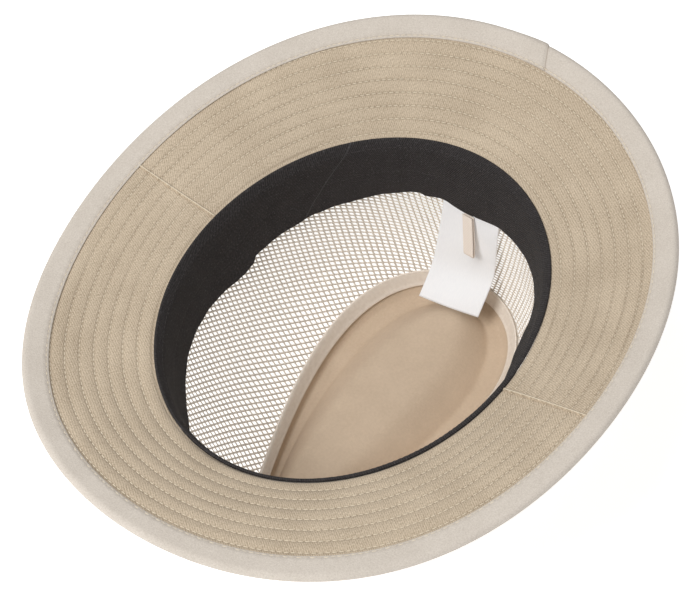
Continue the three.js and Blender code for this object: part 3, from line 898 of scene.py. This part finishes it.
def band_stitches(below):
    def place(angle):
        surface = band_point(angle / math.tau, below + BAND_RISE, -1)
        return surface - face_normal(wall_face, angle, below) * 0.03 * MM

    def up(angle):
        return -face_normal(wall_face, angle, below)

    return dashes_along(place, up, (0, math.tau), BAND_STITCH, BAND_STITCH_LENGTH)


band_dashes = [dash for below in BAND_ROWS for dash in band_stitches(below)]
band_stitching = stitched("band_stitching", band_dashes, BAND_THREAD, dark_thread)

# Care label. A strip of white satin ribbon, cut hot so that it doesn't fray, caught under the lower
# edge of the sweatband at the back. It hangs down the net and swings in over the tip. It is left bare.
LABEL_WIDTH = 33 * MM
LABEL_LENGTH = 63 * MM
LABEL_LEAN = 22.5 * MM  # how far its lower end stands in from the wall
LABEL_SIDE = -3 * MM  # from the centre back; below 0 is to the wearer's left
LABEL_SWING = 0.8 * MM  # how far its lower end goes on to the wearer's left
LABEL_TURN = math.radians(11.5)  # of its lower end, seen from above
LABEL_THICKNESS = 0.35 * MM
LABEL_COLUMNS = 36
LABEL_ROWS = 62
# How it hangs on the way down: shares of its fall and of its lean.
LABEL = [
    dict(down=0, drop=0, lean=0),
    dict(down=0.33, drop=0.36, lean=0.19),
    dict(down=0.66, drop=0.7, lean=0.44),
    dict(down=1, drop=1, lean=1),
]


def label_face(down, across):
    """A point of the label, whose top follows the wall and whose lower part hangs straight."""
    top = BAND_DEPTH + CLEARANCE
    wall = wall_face(BACK, top)
    fall = math.sqrt(LABEL_LENGTH**2 - LABEL_LEAN**2)
    from_middle = (across - 0.5) * LABEL_WIDTH
    side = LABEL_SIDE + from_middle
    curved = wall.y * (math.sqrt(1 - (side / wall_face(0, top).x) ** 2) - 1)
    straight = from_middle * math.tan(LABEL_TURN)
    freed = min(down / 0.7, 1)
    freed = freed * freed * (3 - 2 * freed)
    row = read_along(LABEL, "down", down)
    y = wall.y + curved + (straight - curved) * freed - LABEL_LEAN * row["lean"] - CLEARANCE - 0.5 * MM
    return opening + Vector((side - LABEL_SWING * down, y, -top - fall * row["drop"]))


def care_label():
    bm = bmesh.new()
    uv = bm.loops.layers.uv.new("cloth")
    unit_grid(bm, LABEL_COLUMNS, LABEL_ROWS)
    for face in bm.faces:
        for loop in face.loops:
            loop[uv].uv = (loop.vert.co.x * LABEL_WIDTH, loop.vert.co.y * LABEL_LENGTH)
    for vert in bm.verts:
        across, down = vert.co.x, 1 - vert.co.y
        wave = 0.35 * MM * math.sin(9 * down + 4 * across) * down
        vert.co = label_face(down, across) + Vector((0, wave, 0))
    bmesh.ops.recalc_face_normals(bm, faces=bm.faces)
    bmesh.ops.solidify(bm, geom=bm.faces, thickness=LABEL_THICKNESS)
    return shown(bm, "label", label_satin)


# Polyester satin: white, smooth and faintly glossy, with threads too fine to see.
label_satin, tree, shader = new_finish("white_polyester_satin")
spot = add(tree, "TexCoord", "UV")
stretch = add(tree, "Mapping", "Vector", {"Vector": spot, "Scale": (1, 0.15, 1)})
thread = add(tree, "TexNoise", "Fac", {"Vector": stretch, "Scale": 1 / (0.5 * MM)})
shade = add(tree, "Mix", "Result", {"Factor": thread, "A": srgb("eff0f3"), "B": srgb("fafafb")},
            data_type="RGBA")
relief = add(tree, "Bump", "Normal", {"Height": thread, "Strength": 0.2, "Distance": 0.05 * MM})
feed(tree, shader, {"Base Color": shade, "Normal": relief, "Roughness": 0.42})

label = care_label()
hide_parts("care_label")

# Size loop. A short cream ribbon, folded in half and sewn in under the band in front of the label.
LOOP_WIDTH = 6 * MM
LOOP_LENGTH = 21 * MM
LOOP_SIDE = -5 * MM  # from the centre back, as the label's
LOOP_DROP = 3.8 * MM  # how far the band's edge hangs below its usual depth there
LOOP_THICKNESS = 0.7 * MM
LOOP_COLUMNS = 60
LOOP_FOLD = 0.5 * MM  # radius inside its fold
LOOP_TILT = math.radians(24)  # how far it stands out from the wall
LOOP_RIB = 0.8 * MM  # spacing of its ribs
LOOP_SWING = 0.3  # how far it goes to the wearer's right, as a share of its fall


def loop_point(share, distance, side):
    """The ribbon goes down, round its fold and up again, a little crooked."""
    radius = LOOP_FOLD + LOOP_THICKNESS / 2
    run = LOOP_LENGTH - radius - LOOP_THICKNESS / 2
    bend = math.pi * radius
    gone = share * (2 * run + bend)
    half = side * LOOP_THICKNESS / 2 * fullness(distance, LOOP_WIDTH, LOOP_THICKNESS / 2)
    turn = min(max((gone - run) / bend, 0), 1) * math.pi
    fall = min(gone, run) - max(gone - run - bend, 0) + (radius + half) * math.sin(turn)
    y = -(radius + half) * math.cos(turn)
    x = distance - LOOP_WIDTH / 2 + 0.35 * MM * math.sin(3 * share) + fall * LOOP_SWING
    cosine, sine = math.cos(LOOP_TILT), math.sin(LOOP_TILT)
    outer = math.copysign(abs(LOOP_SIDE) + LOOP_WIDTH / 2, LOOP_SIDE)
    depth = BAND_DEPTH + CLEARANCE
    wall = wall_face(math.acos(outer / wall_face(0, depth).x), depth)
    seat = opening + Vector((LOOP_SIDE, wall.y - 2 * CLEARANCE - 2.2 * MM, wall.z - LOOP_DROP))
    return seat + Vector((x, y * cosine - fall * sine, -fall * cosine - y * sine))


# Woven cream ribbon, with a cord-like rib along it.
cream_ribbon, tree, shader = new_finish("cream_woven_ribbon")
spot = add(tree, "TexCoord", "UV")
rib = add(tree, "TexWave", "Fac", {
    "Vector": spot, "Scale": wave_scale(LOOP_RIB), "Distortion": 0.4,
}, bands_direction="X")
shade = add(tree, "Mix", "Result", {"Factor": rib, "A": srgb("e0d0c1"), "B": srgb("eee3d8")},
            data_type="RGBA")
relief = add(tree, "Bump", "Normal", {"Height": rib, "Strength": 0.4, "Distance": 0.15 * MM})
feed(tree, shader, {"Base Color": shade, "Normal": relief, "Roughness": 0.75})

loop_lanes = lanes(LOOP_WIDTH, LOOP_THICKNESS / 2, 0.8 * MM)
loop = cloth("loop", cream_ribbon, LOOP_COLUMNS, loop_lanes, loop_point, 2 * LOOP_LENGTH, closed=False)
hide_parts("size_loop")

# Floor, light and camera. A white table, lit a little from within, under soft, even light
# from all round and two soft boxes. The camera looks down into the hat from the front right.
CAMERA_ROUND = math.radians(42.12)  # from the front of the hat, to the wearer's right
CAMERA_UP = math.radians(54.23)  # above the floor's level
CAMERA_ROLL = math.radians(-5.33)
CAMERA_DISTANCE = 969.9 * MM
CAMERA_LENS = 107.2
CAMERA_AIM = Vector((-3.12, 0.97, 0)) * MM  # from the middle of the head opening

floor_mesh = bpy.data.meshes.new("floor")
bm = bmesh.new()
bmesh.ops.create_grid(bm, x_segments=1, y_segments=1, size=4)
bm.to_mesh(floor_mesh)
bm.free()
floor = bpy.data.objects.new("floor", floor_mesh)
bpy.context.scene.collection.objects.link(floor)
lit_white, tree, shader = new_finish("lit_white_table")
feed(tree, shader, {
    "Base Color": srgb("fafafa"), "Roughness": 0.9,
    "Emission Color": (1, 1, 1, 1), "Emission Strength": 0.62,
})
floor.data.materials.append(lit_white)

world = bpy.data.worlds.new("soft_room")
world.use_nodes = True
feed(world.node_tree, world.node_tree.nodes["Background"], {"Color": (1, 1, 1, 1), "Strength": 0.38})
bpy.context.scene.world = world


def soft_box(name, place, size, power):
    light = bpy.data.lights.new(name, "AREA")
    light.shape = "DISK"
    light.size = size
    light.energy = power
    lamp = bpy.data.objects.new(name, light)
    lamp.location = opening + Vector(place)
    lamp.rotation_mode = "QUATERNION"
    lamp.rotation_quaternion = Vector(place).to_track_quat("Z", "Y")
    bpy.context.scene.collection.objects.link(lamp)


soft_box("soft_box_front", (-0.15, -0.8, 1.15), 0.6, 12)
soft_box("soft_box_above", (-0.1, -0.25, 1.4), 0.6, 4)

out = Vector((
    math.sin(CAMERA_ROUND) * math.cos(CAMERA_UP),
    -math.cos(CAMERA_ROUND) * math.cos(CAMERA_UP),
    math.sin(CAMERA_UP),
))
right = Vector((math.cos(CAMERA_ROUND), math.sin(CAMERA_ROUND), 0))
up = out.cross(right)
turned_right = right * math.cos(CAMERA_ROLL) + up * math.sin(CAMERA_ROLL)
turned_up = up * math.cos(CAMERA_ROLL) - right * math.sin(CAMERA_ROLL)
camera_data = bpy.data.cameras.new("camera")
camera_data.lens = CAMERA_LENS
camera_data.sensor_width = 36
camera = bpy.data.objects.new("camera", camera_data)
camera.location = opening + CAMERA_AIM + out * CAMERA_DISTANCE
camera.rotation_mode = "QUATERNION"
camera.rotation_quaternion = Matrix((turned_right, turned_up, out)).transposed().to_quaternion()
bpy.context.scene.collection.objects.link(camera)
bpy.context.scene.camera = camera
bpy.context.scene.view_settings.view_transform = "Standard"
